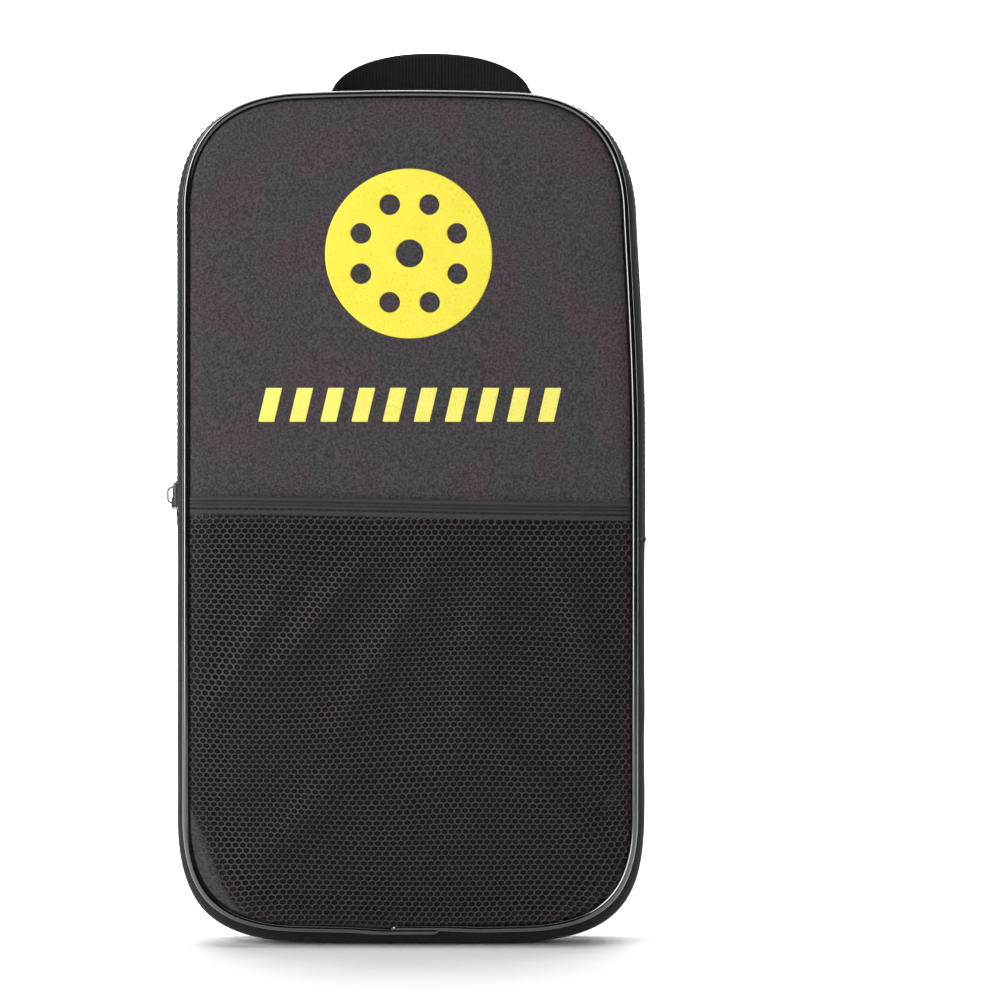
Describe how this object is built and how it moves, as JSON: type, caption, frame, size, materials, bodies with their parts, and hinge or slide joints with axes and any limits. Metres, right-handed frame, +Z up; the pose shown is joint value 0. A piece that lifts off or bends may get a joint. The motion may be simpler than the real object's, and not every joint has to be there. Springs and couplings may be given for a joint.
{
  "type": "paddle case",
  "caption": "Upright padded case for a court paddle, with a zipped fold-down front flap, a mesh pocket, glossy piping and a webbing handle.",
  "frame": {"origin": "middle of the case's base, on the surface that it stands on", "axes": "+Z up through the handle, -Y out of the front with the flap and the pocket, +X to the right of someone who faces the front"},
  "size_m": [0.2439, 0.0649, 0.454],
  "materials": {
    "outer_fabric": "matte",
    "foam": "matte",
    "lining": "matte",
    "piping": "gloss",
    "netting": "matte",
    "ribbon": "matte",
    "webbing": "matte",
    "zip_teeth": "satin",
    "black_metal": "satin",
    "yellow_print": "matte"
  },
  "bodies": {
    "case": {"back_fabric": "outer_fabric", "back_foam": "foam", "back_lining": "lining", "back_piping": "piping", "back_seam_binding": "ribbon", "lower_front_fabric": "outer_fabric", "lower_front_foam": "foam", "lower_front_lining": "lining", "lower_front_piping": "piping", "lower_front_seam_binding": "ribbon", "lower_gusset_fabric": "outer_fabric", "lower_gusset_foam": "foam", "lower_gusset_lining": "lining", "rear_zip_gusset": "outer_fabric", "rear_zip_tape": "ribbon", "rear_zip_teeth": "zip_teeth", "front_gusset_end_left": "outer_fabric", "front_tape_end_left": "ribbon", "front_teeth_end_left": "zip_teeth", "front_gusset_end_right": "outer_fabric", "front_tape_end_right": "ribbon", "front_teeth_end_right": "zip_teeth", "zip_stop_left": "ribbon", "zip_stop_right": "ribbon", "mesh_pocket": "netting", "pocket_binding": "ribbon"},
    "flap": {"flap_fabric": "outer_fabric", "flap_foam": "foam", "flap_lining": "lining", "flap_piping": "piping", "flap_seam_binding": "ribbon", "flap_zip_gusset": "outer_fabric", "flap_zip_tape": "ribbon", "flap_zip_teeth": "zip_teeth", "print_disc": "yellow_print", "print_bar_1": "yellow_print", "print_bar_2": "yellow_print", "print_bar_3": "yellow_print", "print_bar_4": "yellow_print", "print_bar_5": "yellow_print", "print_bar_6": "yellow_print", "print_bar_7": "yellow_print", "print_bar_8": "yellow_print", "print_bar_9": "yellow_print", "print_bar_10": "yellow_print"},
    "slider": {"slider_body": "black_metal"},
    "pull": {"pull_tab": "black_metal"},
    "handle": {"handle_webbing": "webbing"}
  },
  "joints": [
    {"name": "flap_fold", "type": "hinge", "parent": "case", "child": "flap", "pos_m": [0, -0.027, 0.238], "axis": [1, 0, 0], "range_deg": [0, 150]},
    {"name": "slider_travel", "type": "slide", "parent": "case", "child": "slider", "axis": [0, 0, 1], "range_m": [0, 0.135]},
    {"name": "pull_swing", "type": "hinge", "parent": "slider", "child": "pull", "pos_m": [-0.1216, 0, 0.22325], "axis": [-1, 0, 0], "range_deg": [0, 180]},
    {"name": "handle_lean", "type": "hinge", "parent": "case", "child": "handle", "pos_m": [0.0095, 0.018, 0.43104], "axis": [1, 0, 0], "range_deg": [-10, 70]}
  ]
}
